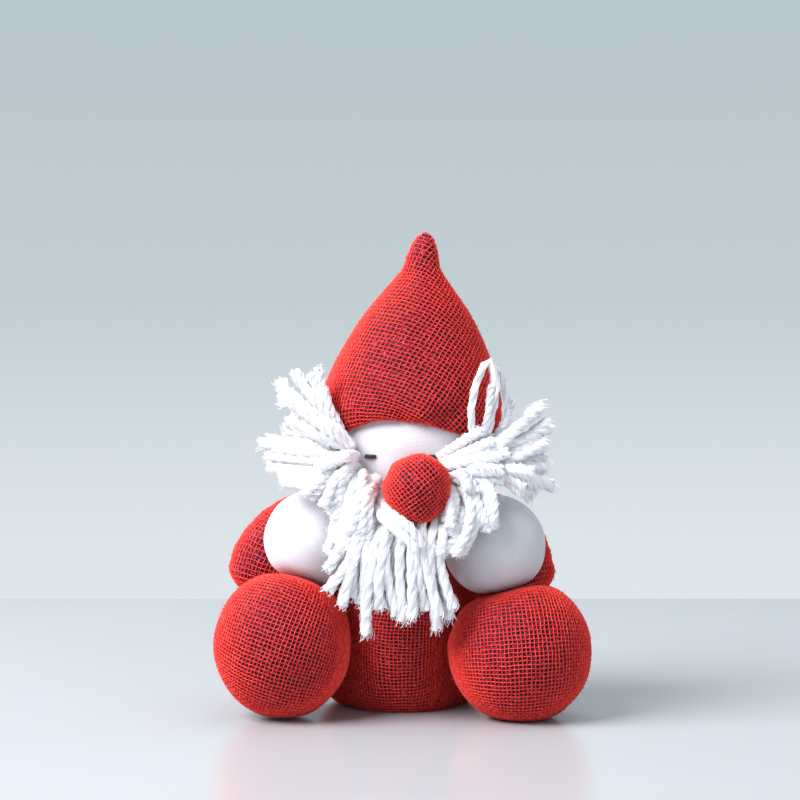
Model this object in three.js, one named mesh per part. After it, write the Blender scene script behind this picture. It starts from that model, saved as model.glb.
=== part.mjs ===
// A seated cloth tomte: stuffed balls of red and white cloth, each gathered shut with a thread and
// sewn together, under a pointed hat and a beard of soft yarn. Millimetres, +Z up, the face looks
// along -Y and the figure stands on Z = 0. Right and left are the figure's own.
import * as THREE from 'three';
import { mergeVertices } from 'three/addons/utils/BufferGeometryUtils.js';

// --- driving dimensions ---------------------------------------------------------------------

const CLOTH = 1.2; // wall of a cover: the cloth with its gathers
const FILLING_GAP = 0.4; // between a cover and the wadding inside it
const PRESS_GAP = 0.8; // between two covers that are squeezed together
const HIP_GAP = 1.8; // the gathered neck between a foot and the body
const THREAD = 0.7; // sewing thread, wound double

const BODY = { centre: [0, 10, 20], radii: [27, 27.3, 27.5], around: 16, along: 10, mouth: 5.5 };
const NECK_HEIGHT = 46.1; // the neck thread's height
const NECK_GAP = 1.8; // between the body's top and the head
const NECK_THREAD_RADIUS = 7;
const WEIGHT_BAG = { centre: [0, 10, 8.5], radii: [14, 13, 6], around: 12, along: 6 };
const BODY_FILLING_BASE = 4; // the wadding is cut level this far below the body's centre

const HEAD = { centre: [2.6, 3, 68.8], radii: [23.5, 23.5, 23.5], around: 16, along: 10, mouth: 5.5 };
const NOSE = { centre: [3.5, -28.5, 62], radii: [8.9, 8.9, 8.9], around: 12, along: 8, mouth: 2.2 };
const NOSE_GAP = 1.4; // the nose thread lies in it
const EYE = { radii: [1.6, 0.5, 0.7], rise: 0.9, turns: [-28, 13.5], lift: 2 };

const HAND_RADIUS = 14;
const RIGHT_HAND = [-23.5, -8, 46.6];
const LEFT_HAND = [24.5, -12, 45.3];
const RIGHT_FOOT = { centre: [-31.6, -16, 19.4], radii: [18.2, 18.2, 19.8] };
const LEFT_FOOT = { centre: [30.9, -16, 17.6], radii: [19, 18.6, 18.3] };

// a sleeve runs from the body up into its round shoulder, over the crook to the elbow, and forwards
// to the wrist. `inwards` points at the body, and `backwards` from the hand to its wrist
const RIGHT_SLEEVE = {
  shoulder: [-22, 16, 50],
  crook: [-29.5, 15.5, 48.5],
  inwards: [0.58, -0.16, -0.79],
  backwards: [-0.56, 0.79, -0.25],
};
const LEFT_SLEEVE = {
  shoulder: [22.5, 18, 49.5],
  crook: [28.5, 16, 47.5],
  inwards: [-0.58, -0.2, -0.79],
  backwards: [0.235, 0.926, -0.296],
};
const WRIST_BEHIND_HAND = 17.3; // both from the hand's centre
const ELBOW_BEHIND_HAND = 22.5;
const SHOULDER_RADIUS = 7.8;
const ELBOW_RADIUS = 9;
const WRIST_RADIUS = 6.2;

// the hat: [radius, height above the brim] up its outside
const HAT_OUTLINE = [
  [25.0, 0], [25.7, 5], [24.2, 11], [20.6, 19], [14.2, 30.5],
  [8.0, 38.5], [5.4, 43], [4.4, 47], [2.8, 51], [0, 53.2],
];
const HAT_BRIM_HEIGHT = 77; // at the forehead
const HAT_BACK_DROP = 11; // how much lower the brim is at the back of the head
const HAT_DROP_ENDS = 26; // the drop has faded out at this height above the brim
const HAT_LEAN = 3.8; // how far the tip leans to the figure's left
const HAT_TOP_INSIDE = 48.5; // top of the hollow, above the brim
const HAT_FILLING_BASE = 16.5;

const BEARD_FRONT = -35;
const BEARD_THICKNESS = 7;

// --- materials ------------------------------------------------------------------------------

const finish = (color, roughness) => new THREE.MeshStandardMaterial({ color, roughness, metalness: 0 });
const RED_CLOTH = finish(0xc8322d, 0.9);
const WHITE_CLOTH = finish(0xf2f2f2, 0.9);
const YARN = finish(0xf6f6f8, 0.95);
const WADDING = finish(0xe6e4de, 1.0);
const SEWING_THREAD = finish(0xb02a28, 0.8);
const WHITE_THREAD = finish(0xededed, 0.8);
const BLACK_THREAD = finish(0x1c1c20, 0.7);
const PELLET_BAG = finish(0xcfc6b4, 0.9);

// --- balls of gathered cloth ----------------------------------------------------------------

const PATTERN = 100; // radius of the pattern that every ball is mapped from
const UP = new THREE.Vector3(0, 1, 0);
const vector = (point) => new THREE.Vector3(...point);

// distance from a ball's centre to its surface, the surface set in by `inset`
function reach(ball, direction, inset = 0) {
  const scaled = ball.radii.map((radius, i) => direction.getComponent(i) / (radius - inset));
  let distance = 1 / Math.hypot(...scaled);
  for (const cut of ball.cuts) {
    const facing = cut.normal.dot(direction);
    if (facing > 1e-6) distance = Math.min(distance, (cut.distance - inset) / facing);
  }
  return distance;
}

// flattens a ball where it meets a plane at `distance` from its centre
function flatten(ball, normal, distance) {
  ball.cuts.push({ normal: normal.clone().normalize(), distance });
}

// squeezes two balls against each other: `share` of the squeeze is the first one's
function press(first, second, gap, share = 0.5) {
  const across = vector(second.centre).sub(vector(first.centre));
  const between = across.length();
  across.normalize();
  const firstReach = reach(first, across);
  const squeeze = firstReach + reach(second, across.clone().negate()) + gap - between;
  if (squeeze <= 0) return;
  const firstDistance = firstReach - squeeze * share;
  flatten(first, across, firstDistance);
  flatten(second, across.clone().negate(), between - gap - firstDistance);
}

function makeBall({ centre, radii, around, along, mouth = 0 }) {
  return { centre, radii, around, along, mouth, cuts: [], opening: new THREE.Vector3(0, 0, 1) };
}

// one arc of the pattern's profile, from the far pole to the mouth, or on to the near pole
function arc(ball, inset, closed) {
  const radius = PATTERN - inset;
  const end = Math.PI - Math.asin(ball.mouth / Math.min(...ball.radii));
  const profile = Array.from({ length: ball.along + 1 }, (_, i) => {
    const angle = (end * i) / ball.along;
    return new THREE.Vector2(i === 0 ? 0 : Math.sin(angle) * radius, -Math.cos(angle) * radius);
  });
  if (!closed) return profile;
  const ring = ball.mouth > 0 ? profile : profile.slice(0, -1);
  return [...ring, new THREE.Vector2(0, radius)];
}

function onlyPositions(geometry) {
  geometry.deleteAttribute('normal');
  geometry.deleteAttribute('uv');
  return mergeVertices(geometry, 1e-4);
}

// maps the turned pattern onto the ball, with the pattern's mouth at the ball's opening
function shapeBall(profile, ball) {
  const geometry = onlyPositions(new THREE.LatheGeometry(profile, ball.around));
  const turn = new THREE.Quaternion().setFromUnitVectors(UP, ball.opening);
  const places = geometry.attributes.position;
  const point = new THREE.Vector3();
  for (let i = 0; i < places.count; i += 1) {
    point.fromBufferAttribute(places, i);
    const inset = PATTERN - point.length();
    point.normalize().applyQuaternion(turn);
    point.multiplyScalar(reach(ball, point, inset));
    places.setXYZ(i, point.x, point.y, point.z);
  }
  return geometry;
}

// a profile turned from its last point to its first comes out inside out, and this rights it
function turnFaces(geometry) {
  const corners = geometry.index;
  for (let i = 0; i < corners.count; i += 3) {
    const second = corners.getX(i + 1);
    corners.setX(i + 1, corners.getX(i + 2));
    corners.setX(i + 2, second);
  }
  return geometry;
}

const ballCover = (ball) => shapeBall([...arc(ball, 0, false), ...arc(ball, CLOTH, false).reverse()], ball);

// turned the same way as the inside of a cover, so that its faces lie along the cover's
const ballSolid = (ball, inset = 0) => turnFaces(shapeBall(arc(ball, inset, true).reverse(), ball));

function piece(name, geometry, material, centre = [0, 0, 0]) {
  const mesh = new THREE.Mesh(geometry, material);
  mesh.name = name;
  mesh.position.set(...centre);
  return mesh;
}

const cover = (name, ball, material) => piece(name, ballCover(ball), material, ball.centre);
const filling = (name, ball) => piece(name, ballSolid(ball, CLOTH + FILLING_GAP), WADDING, ball.centre);

// the thread round a ball's gathered opening, `away` from the ball's own surface
function gatherThread(name, ball, radius, away, material) {
  const ring = onlyPositions(new THREE.TorusGeometry(radius, THREAD / 2, 5, 12));
  const mesh = piece(name, ring, material);
  mesh.quaternion.setFromUnitVectors(new THREE.Vector3(0, 0, 1), ball.opening);
  mesh.position.copy(ball.opening).multiplyScalar(reach(ball, ball.opening) + away);
  mesh.position.add(vector(ball.centre));
  return mesh;
}

// --- the balls and how they press on each other ----------------------------------------------

const DOWN = new THREE.Vector3(0, 0, -1);
const body = makeBall(BODY);
const head = makeBall(HEAD);
const nose = makeBall(NOSE);
const handSize = { radii: [HAND_RADIUS, HAND_RADIUS, HAND_RADIUS], around: 12, along: 8, mouth: 3 };
const rightHand = makeBall({ centre: RIGHT_HAND, ...handSize });
const leftHand = makeBall({ centre: LEFT_HAND, ...handSize });
const rightFoot = makeBall({ ...RIGHT_FOOT, around: 14, along: 9, mouth: 3 });
const leftFoot = makeBall({ ...LEFT_FOOT, around: 14, along: 9, mouth: 3 });

const towards = (from, to) => vector(to).sub(vector(from)).normalize();

for (const ball of [body, rightFoot, leftFoot]) flatten(ball, DOWN, ball.centre[2]);
flatten(body, new THREE.Vector3(0, 0, 1), NECK_HEIGHT - NECK_GAP / 2 - body.centre[2]);
flatten(head, DOWN, head.centre[2] - NECK_HEIGHT - NECK_GAP / 2);
press(nose, head, NOSE_GAP);
for (const foot of [rightFoot, leftFoot]) press(body, foot, HIP_GAP, 1);
press(rightHand, rightFoot, PRESS_GAP);
press(leftHand, leftFoot, PRESS_GAP);
for (const hand of [rightHand, leftHand]) {
  press(hand, head, PRESS_GAP, 1);
  press(hand, body, PRESS_GAP, 1);
}

body.opening = towards(body.centre, [HEAD.centre[0], HEAD.centre[1], NECK_HEIGHT]);
head.opening = DOWN.clone();
nose.opening = towards(nose.centre, head.centre);
rightHand.opening = vector(RIGHT_SLEEVE.backwards).normalize();
leftHand.opening = vector(LEFT_SLEEVE.backwards).normalize();
rightFoot.opening = towards(rightFoot.centre, body.centre);
leftFoot.opening = towards(leftFoot.centre, body.centre);

// --- torso ----------------------------------------------------------------------------------

function neckThread() {
  const ring = onlyPositions(new THREE.TorusGeometry(NECK_THREAD_RADIUS, THREAD / 2, 5, 14));
  const mesh = piece('neck_thread', ring, SEWING_THREAD);
  mesh.position.set(HEAD.centre[0], HEAD.centre[1], NECK_HEIGHT);
  return mesh;
}

// the wadding fills the body down to just above the pellet bag
function bodyFilling() {
  const base = { normal: DOWN, distance: BODY_FILLING_BASE };
  const solid = ballSolid({ ...body, cuts: [...body.cuts, base] }, CLOTH + FILLING_GAP);
  return piece('body_filling', solid, WADDING, body.centre);
}

// a small bag of pellets lies in the bottom of the body, under the wadding
const weightBag = () => piece('weight_bag', ballSolid(makeBall(WEIGHT_BAG)), PELLET_BAG, WEIGHT_BAG.centre);

const torso = new THREE.Group();
torso.add(
  cover('body_cover', body, RED_CLOTH),
  bodyFilling(),
  weightBag(),
  neckThread(),
);

// --- head, face and hat ---------------------------------------------------------------------

// each eye is a short bar of satin stitch on the front of the head
function eye(name, turn) {
  const bar = makeBall({ centre: [0, 0, 0], radii: EYE.radii, around: 10, along: 6 });
  const angle = THREE.MathUtils.degToRad(turn);
  const tilt = THREE.MathUtils.degToRad(EYE.lift);
  const level = Math.cos(tilt);
  const out = new THREE.Vector3(Math.sin(angle) * level, -Math.cos(angle) * level, Math.sin(tilt));
  const mesh = piece(name, ballSolid(bar), BLACK_THREAD);
  mesh.rotation.z = angle;
  mesh.position.copy(out).multiplyScalar(HEAD.radii[0] + EYE.rise).add(vector(HEAD.centre));
  return mesh;
}

// moves a point, given by its place round the axis and its height above the brim, onto the hat
function hatPoint(point) {
  const rise = point.z;
  const fade = Math.max(0, 1 - rise / HAT_DROP_ENDS) ** 2;
  const backness = (point.y + HAT_OUTLINE[0][0]) / (2 * HAT_OUTLINE[0][0]);
  const lean = HAT_LEAN * (rise / HAT_OUTLINE.at(-1)[1]) ** 2;
  point.x += HEAD.centre[0] + lean;
  point.y += HEAD.centre[1];
  point.z += HAT_BRIM_HEIGHT - HAT_BACK_DROP * fade * backness;
}

function turnedHat(profile) {
  const outline = profile.map((point) => new THREE.Vector2(...point));
  const geometry = onlyPositions(new THREE.LatheGeometry(outline, 16));
  geometry.rotateX(Math.PI / 2);
  const places = geometry.attributes.position;
  const point = new THREE.Vector3();
  for (let i = 0; i < places.count; i += 1) {
    hatPoint(point.fromBufferAttribute(places, i));
    places.setXYZ(i, point.x, point.y, point.z);
  }
  return geometry;
}

const insideHat = (inset, top) => [
  ...HAT_OUTLINE.filter(([radius, rise]) => radius > inset + 1.2 && rise < top - 1)
    .map(([radius, rise]) => [radius - inset, rise]),
  [0, top],
];

function hatCover() {
  const inside = insideHat(CLOTH, HAT_TOP_INSIDE).reverse();
  return piece('hat_cover', turnedHat([...inside, ...HAT_OUTLINE]), RED_CLOTH);
}

function hatFilling() {
  const inset = CLOTH + FILLING_GAP;
  const side = insideHat(inset, HAT_TOP_INSIDE - 2).filter(([, rise]) => rise > HAT_FILLING_BASE);
  const base = [[0, HAT_FILLING_BASE], [side[0][0], HAT_FILLING_BASE]];
  return piece('hat_filling', turnedHat([...base, ...side]), WADDING);
}

// the beard: a fan of yarn that hangs from under the nose in front of the chest
function beard() {
  const outline = new THREE.Shape();
  outline.moveTo(-14, 56);
  outline.quadraticCurveTo(-22, 44, -19.5, 33);
  outline.quadraticCurveTo(-10, 25, 3, 23.5);
  outline.quadraticCurveTo(14, 25, 19, 34);
  outline.quadraticCurveTo(19, 46, 15, 53);
  outline.quadraticCurveTo(4, 50, -6, 52);
  outline.closePath();
  const slab = onlyPositions(
    new THREE.ExtrudeGeometry(outline, { depth: BEARD_THICKNESS, bevelEnabled: false, curveSegments: 5 }),
  );
  slab.rotateX(Math.PI / 2);
  return piece('beard', slab, YARN, [0, BEARD_FRONT + BEARD_THICKNESS, 0]);
}

// a tuft of yarn that stands out from the cheek, long across its middle
function tuft(name, centre, radii, lean, cuts = []) {
  const bundle = makeBall({ centre, radii, around: 10, along: 7 });
  for (const [normal, distance] of cuts) flatten(bundle, vector(normal), distance);
  const mesh = piece(name, ballSolid(bundle), YARN, centre);
  mesh.rotation.y = THREE.MathUtils.degToRad(lean);
  return mesh;
}

const headGroup = new THREE.Group();
headGroup.add(
  cover('head_cover', head, WHITE_CLOTH),
  filling('head_filling', head),
  cover('nose_cover', nose, RED_CLOTH),
  filling('nose_filling', nose),
  gatherThread('nose_thread', nose, 3, NOSE_GAP / 2, SEWING_THREAD),
  eye('right_eye', EYE.turns[0]),
  eye('left_eye', EYE.turns[1]),
  hatCover(),
  hatFilling(),
  beard(),
  tuft('right_whiskers', [-25, -18.5, 68.5], [13, 6, 8.5], 0),
  tuft('left_whiskers', [29.5, -18, 69.5], [12.5, 6, 9], 0, [[[0, 0, 1], 5.5]]),
  tuft('right_upper_whiskers', [-28, -11, 84], [4.5, 4.5, 9], -30),
  tuft('left_upper_whiskers', [21, -21, 85.5], [4.5, 3.2, 10], 6),
);

// --- arms -----------------------------------------------------------------------------------

// [distance along the sleeve, radius], from the body to the wrist
function sleeveOutline(length) {
  return [
    [0, 3.2], [1.4, 5.2], [4.2, SHOULDER_RADIUS - 1], [SHOULDER_RADIUS, SHOULDER_RADIUS],
    [length * 0.4, SHOULDER_RADIUS + 0.4], [length * 0.62, ELBOW_RADIUS],
    [length - 5, ELBOW_RADIUS - 1.2], [length - 1.3, WRIST_RADIUS], [length, 4.2],
  ];
}

const SLEEVE_STEPS = 400; // fine enough for every ring to find its own frame

// bends a turned sausage, which lies along Y from 0, onto the sleeve's middle line
function bentSleeve(profileOf, sleeve, hand) {
  const shoulder = vector(sleeve.shoulder);
  const behind = (distance) => vector(hand.centre).addScaledVector(hand.opening, distance);
  const start = shoulder.clone().addScaledVector(vector(sleeve.inwards), SHOULDER_RADIUS);
  const elbow = behind(ELBOW_BEHIND_HAND);
  const route = [start, shoulder, vector(sleeve.crook), elbow, behind(WRIST_BEHIND_HAND)];
  const line = new THREE.CatmullRomCurve3(route, false, 'centripetal');
  const length = line.getLength();
  const geometry = onlyPositions(new THREE.LatheGeometry(profileOf(sleeveOutline(length)), 12));
  const frames = line.computeFrenetFrames(SLEEVE_STEPS);
  const positions = geometry.attributes.position;
  for (let i = 0; i < positions.count; i += 1) {
    const share = THREE.MathUtils.clamp(positions.getY(i) / length, 0, 1);
    const step = Math.round(share * SLEEVE_STEPS);
    const point = line.getPointAt(share);
    point.addScaledVector(frames.normals[step], positions.getX(i));
    point.addScaledVector(frames.binormals[step], -positions.getZ(i));
    positions.setXYZ(i, point.x, point.y, point.z);
  }
  return geometry;
}

const toVector2 = ([along, radius]) => new THREE.Vector2(radius, along);

// the outline set in by `inset` all round, from the wrist back to the body
function insideSleeve(outline, inset) {
  const length = outline.at(-1)[0];
  const inside = ([along, radius]) => [THREE.MathUtils.clamp(along, inset, length - inset), radius - inset];
  return outline.map(inside).reverse();
}

function sleeveCover(outline) {
  return [...outline, ...insideSleeve(outline, CLOTH), outline[0]].map(toVector2);
}

function sleeveFilling(outline) {
  const inside = insideSleeve(outline, CLOTH + FILLING_GAP);
  return [[inside[0][0], 0], ...inside, [inside.at(-1)[0], 0]].map(toVector2);
}

function arm(side, hand, sleeve) {
  const group = new THREE.Group();
  group.add(
    piece(`${side}_sleeve`, bentSleeve(sleeveCover, sleeve, hand), RED_CLOTH),
    piece(`${side}_sleeve_filling`, turnFaces(bentSleeve(sleeveFilling, sleeve, hand)), WADDING),
    cover(`${side}_hand_cover`, hand, WHITE_CLOTH),
    filling(`${side}_hand_filling`, hand),
    gatherThread(`${side}_wrist_thread`, hand, 3.6, THREAD, WHITE_THREAD),
  );
  return group;
}

// --- legs -----------------------------------------------------------------------------------

function leg(side, foot) {
  const group = new THREE.Group();
  group.add(
    cover(`${side}_foot_cover`, foot, RED_CLOTH),
    filling(`${side}_foot_filling`, foot),
    gatherThread(`${side}_ankle_thread`, foot, 3.6, THREAD, SEWING_THREAD),
  );
  return group;
}

const tomte = new THREE.Group();
tomte.add(
  torso,
  headGroup,
  arm('right', rightHand, RIGHT_SLEEVE),
  arm('left', leftHand, LEFT_SLEEVE),
  leg('right', rightFoot),
  leg('left', leftFoot),
);

export default tomte;
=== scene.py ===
"""A seated cloth tomte: stuffed balls of red and white cloth under a pointed hat, with yarn for a beard."""
from math import cos, pi, radians, sin

import bmesh
import bpy
import numpy as np
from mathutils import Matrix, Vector


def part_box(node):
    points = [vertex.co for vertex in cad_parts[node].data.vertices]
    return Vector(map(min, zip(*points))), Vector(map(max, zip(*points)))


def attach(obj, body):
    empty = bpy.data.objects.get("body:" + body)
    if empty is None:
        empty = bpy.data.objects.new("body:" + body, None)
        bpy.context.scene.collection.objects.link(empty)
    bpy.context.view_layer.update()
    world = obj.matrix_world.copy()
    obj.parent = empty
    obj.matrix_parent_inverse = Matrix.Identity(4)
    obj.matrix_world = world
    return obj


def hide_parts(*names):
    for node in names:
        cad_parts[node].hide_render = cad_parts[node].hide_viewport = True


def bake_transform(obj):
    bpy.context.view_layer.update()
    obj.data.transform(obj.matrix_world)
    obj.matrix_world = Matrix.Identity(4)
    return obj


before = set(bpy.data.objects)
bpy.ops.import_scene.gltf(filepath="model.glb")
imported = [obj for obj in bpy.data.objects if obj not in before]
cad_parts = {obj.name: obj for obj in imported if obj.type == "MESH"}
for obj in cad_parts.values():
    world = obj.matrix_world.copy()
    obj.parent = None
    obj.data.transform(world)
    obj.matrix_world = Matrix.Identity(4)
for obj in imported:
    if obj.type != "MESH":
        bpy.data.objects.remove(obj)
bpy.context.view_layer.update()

scene = bpy.context.scene
MM = 0.001

# --- camera ---------------------------------------------------------------------------------
# A long lens a little above the figure's nose, looking slightly down on it.

lens = bpy.data.cameras.new("camera")
lens.lens = 100
lens.sensor_width = 36
camera = bpy.data.objects.new("camera", lens)
camera.location = (-0.66 * MM, -605 * MM, 103 * MM)
camera.rotation_euler = (radians(90 - 1.8), 0, 0)
scene.collection.objects.link(camera)
scene.camera = camera
scene.view_settings.view_transform = "Standard"

# --- table and studio light -----------------------------------------------------------------
# A white laminate table top with a soft gloss, under one wide soft light from the upper left,
# with a pale grey-blue room behind it.


def tint(code):
    """An sRGB hex colour as the linear colour that a shader takes."""
    parts = [int(code[i:i + 2], 16) / 255 for i in (1, 3, 5)]
    return [p / 12.92 if p <= 0.04045 else ((p + 0.055) / 1.055) ** 2.4 for p in parts] + [1]


def add(tree, kind, inputs=None, **settings):
    """Adds a node with its settings. An input takes a value, or the socket that feeds it."""
    node = tree.nodes.new(kind)
    for name, value in settings.items():
        setattr(node, name, value)
    for key, value in (inputs or {}).items():
        if isinstance(value, bpy.types.NodeSocket):
            tree.links.new(value, node.inputs[key])
        else:
            node.inputs[key].default_value = value
    return node


def new_material(name):
    """An empty material and its node tree."""
    material = bpy.data.materials.new(name)
    material.use_nodes = True
    material.node_tree.nodes.clear()
    return material, material.node_tree


def ramp(tree, factor, stops):
    """A colour ramp with one stop for each place and hex colour."""
    node = add(tree, "ShaderNodeValToRGB", {"Fac": factor})
    while len(node.color_ramp.elements) < len(stops):
        node.color_ramp.elements.new(0.5)
    for element, (place, code) in zip(node.color_ramp.elements, stops):
        element.position = place
        element.color = tint(code)
    return node.outputs["Color"]


def mottled(tree, scale, detail, stops):
    """A colour that wanders between the stops across the object, in `scale` patches a metre."""
    place = add(tree, "ShaderNodeTexCoord").outputs["Object"]
    noise = add(tree, "ShaderNodeTexNoise", {"Vector": place, "Scale": scale, "Detail": detail})
    return ramp(tree, noise.outputs["Fac"], stops)


def coat(tree, values):
    """Gives a material its surface."""
    surface = add(tree, "ShaderNodeBsdfPrincipled", values)
    tree.links.new(surface.outputs[0], add(tree, "ShaderNodeOutputMaterial").inputs[0])


def new_object(name, mesh):
    thing = bpy.data.objects.new(name, mesh)
    scene.collection.objects.link(thing)
    return thing


# white laminate: a smooth pressed face, so the figure shows in it as a faint blur
laminate, tree = new_material("pressed white laminate")
colour = mottled(tree, 6, 3, [(0.3, "#b2b4b5"), (0.7, "#b6b8b9")])
coat(tree, {"Base Color": colour, "Roughness": 0.22, "IOR": 1.35})

TABLE_HALF_WIDTH, TABLE_FRONT, TABLE_REAR, TABLE_THICKNESS = 1400, -1200, 247, 30
corners = [
    (x * MM, y * MM, z * MM)
    for z in (-TABLE_THICKNESS, 0)
    for y in (TABLE_FRONT, TABLE_REAR)
    for x in (-TABLE_HALF_WIDTH, TABLE_HALF_WIDTH)
]
sides = [(0, 2, 3, 1), (4, 5, 7, 6), (0, 1, 5, 4), (2, 6, 7, 3), (0, 4, 6, 2), (1, 3, 7, 5)]
top = bpy.data.meshes.new("table top")
top.from_pydata(corners, [], sides)
top.materials.append(laminate)
table = new_object("table_top", top)
edge = table.modifiers.new("rounded edge", "BEVEL")
edge.width = 2 * MM
edge.segments = 3

world = bpy.data.worlds.new("pale room")
scene.world = world
world.use_nodes = True
tree = world.node_tree
tree.nodes.clear()
direction = add(tree, "ShaderNodeTexCoord").outputs["Generated"]
height = add(tree, "ShaderNodeSeparateXYZ", {0: direction}).outputs["Z"]
share = add(tree, "ShaderNodeMapRange", {"Value": height, "From Min": -0.13, "From Max": 0.15}).outputs[0]
room = ramp(tree, share, [
    (0.0, "#dfe7ec"), (0.13, "#dde5ea"), (0.3, "#d3dce1"),
    (0.5, "#c3cfd3"), (0.75, "#c0cacf"), (1.0, "#b8c6cd"),
])
seen = add(tree, "ShaderNodeLightPath").outputs["Is Diffuse Ray"]
strength = add(tree, "ShaderNodeMapRange", {"Value": seen, "To Min": 1.0, "To Max": 0.55}).outputs[0]
glow = add(tree, "ShaderNodeBackground", {"Color": room, "Strength": strength})
tree.links.new(glow.outputs[0], add(tree, "ShaderNodeOutputWorld").inputs[0])

# (name, place in mm, size in mm, watts, colour)
LIGHTS = [
    ("window", (-790, -440, 900), 850, 34, "#fbfaff"),
    ("ceiling", (200, 200, 1300), 900, 6.5, "#f4f7ff"),
    ("fill", (760, -640, 400), 700, 1.8, "#e6efff"),
]
for name, place, size, watts, code in LIGHTS:
    lamp = bpy.data.lights.new(name, "AREA")
    lamp.size = size * MM
    lamp.energy = watts
    lamp.color = tint(code)[:3]
    light = bpy.data.objects.new(name, lamp)
    light.location = Vector(place) * MM
    aim = Vector((0, 0, 50)) - Vector(place)
    light.rotation_euler = aim.to_track_quat("-Z", "Y").to_euler()
    scene.collection.objects.link(light)

# --- the stuffed balls ----------------------------------------------------------------------
# Body, head, nose, hands and feet are rounds of cloth filled with wadding and gathered shut with
# a thread. They are sewn together tight, so each is pressed flat where it meets its neighbour.
# The red ones are an open weave over a dark lining, the white ones a fine close weave.

PITCH = 1.16  # thread spacing of the red cloth
AROUND, ALONG = 64, 40
FIRST_RING, LAST_RING = 0.03, pi - 0.12  # angles from the middle of the cloth
RED_INSET, WHITE_INSET = 0.45, 0.25  # of the skin below the cover's outside: room for threads
DISC_LIMIT = 1.9  # beyond this angle from its middle the round of cloth is drawn together


def unit(direction):
    direction = np.asarray(direction, float)
    return direction / np.linalg.norm(direction)


def ball(centre, radii, front, gather=None, turn=0, start=0, tube=False, lumpy=0.006):
    """A stuffed ball. `front` points at the middle of its cloth, and `gather` at where it is drawn shut."""
    return {
        "centre": np.array(centre, float), "radii": np.array(radii, float), "front": unit(front),
        "gather": -unit(front) if gather is None else unit(gather),
        "turn": radians(turn), "start": radians(start), "tube": tube, "lumpy": lumpy, "flats": [],
    }


def soften(first, second, soft):
    """The lesser of two distances, rounded over where they cross."""
    share = np.clip(0.5 + 0.5 * (second - first) / soft, 0, 1)
    return second * (1 - share) + first * share - soft * share * (1 - share)


def reach(shape, direction, soft=1.6):
    """Distance from a ball's centre to its surface."""
    distance = 1 / np.linalg.norm(direction / shape["radii"], axis=-1)
    for normal, away in shape["flats"]:
        facing = np.maximum(direction @ normal, 1e-3)
        distance = soften(distance, away / facing, soft)
    return distance


def flatten(shape, normal, away):
    shape["flats"].append((unit(normal), away))


def press(first, second, gap, share=0.5):
    """Squeezes two balls against each other: `share` of the squeeze is the first one's."""
    between = second["centre"] - first["centre"]
    across = unit(between)
    near = reach(first, across, 1e-6)
    squeeze = near + reach(second, -across, 1e-6) + gap - np.linalg.norm(between)
    if squeeze > 0:
        flatten(first, across, near - squeeze * share)
        flatten(second, -across, np.linalg.norm(between) - gap - (near - squeeze * share))


BODY_SEAM = 66  # degrees: the body's side seam has turned round to the front, left of the middle
BALLS = {
    "body": ball((0, 10, 20), (27, 27.3, 27.5), (0, 0, -1), (2.6, -7, 26), start=BODY_SEAM, tube=True),
    "head": ball((2.6, 3, 68.8), (23.5, 23.5, 23.5), (0, -0.75, 0.66), (0, 0, -1)),
    "nose": ball((3.8, -28.5, 61.7), (8.7, 8.9, 9.3), (0.1, -1, 0.1), turn=52, lumpy=0.03),
    "right_hand": ball((-23.5, -8, 46.6), (14, 14, 14), (0.56, -0.79, 0.25), turn=12),
    "left_hand": ball((24.5, -12, 45.3), (14, 14, 14), (-0.235, -0.926, 0.296), turn=-25),
    "right_foot": ball((-31.6, -16, 19.4), (18.2, 18.2, 19.8), (-0.1, -1, 0.12), (0.77, 0.63, 0), turn=19),
    "left_foot": ball((30.9, -16, 17.6), (19, 18.6, 19.6), (0.1, -1, 0.14), (-0.76, 0.64, 0.06), turn=-3),
}
for name in ("body", "right_foot", "left_foot"):
    flatten(BALLS[name], (0, 0, -1), BALLS[name]["centre"][2])
flatten(BALLS["left_foot"], (-0.35, 0, 1), 17.2)  # a dent on top, where the hand rests
NECK_HEIGHT, NECK_GAP = 46.1, 1.8
flatten(BALLS["body"], (0, 0, 1), NECK_HEIGHT - NECK_GAP / 2 - BALLS["body"]["centre"][2])
flatten(BALLS["head"], (0, 0, -1), BALLS["head"]["centre"][2] - NECK_HEIGHT - NECK_GAP / 2)
press(BALLS["nose"], BALLS["head"], 1.4)
for side in ("right", "left"):
    press(BALLS["body"], BALLS[f"{side}_foot"], 1.8, 1)
for side in ("right", "left"):
    press(BALLS[f"{side}_hand"], BALLS[f"{side}_foot"], 0.8)
for side in ("right", "left"):
    press(BALLS[f"{side}_hand"], BALLS["head"], 0.8, 1)
    press(BALLS[f"{side}_hand"], BALLS["body"], 0.8, 1)


def smooth_step(value, low, high):
    share = np.clip((value - low) / (high - low), 0, 1)
    return share * share * (3 - 2 * share)


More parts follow.
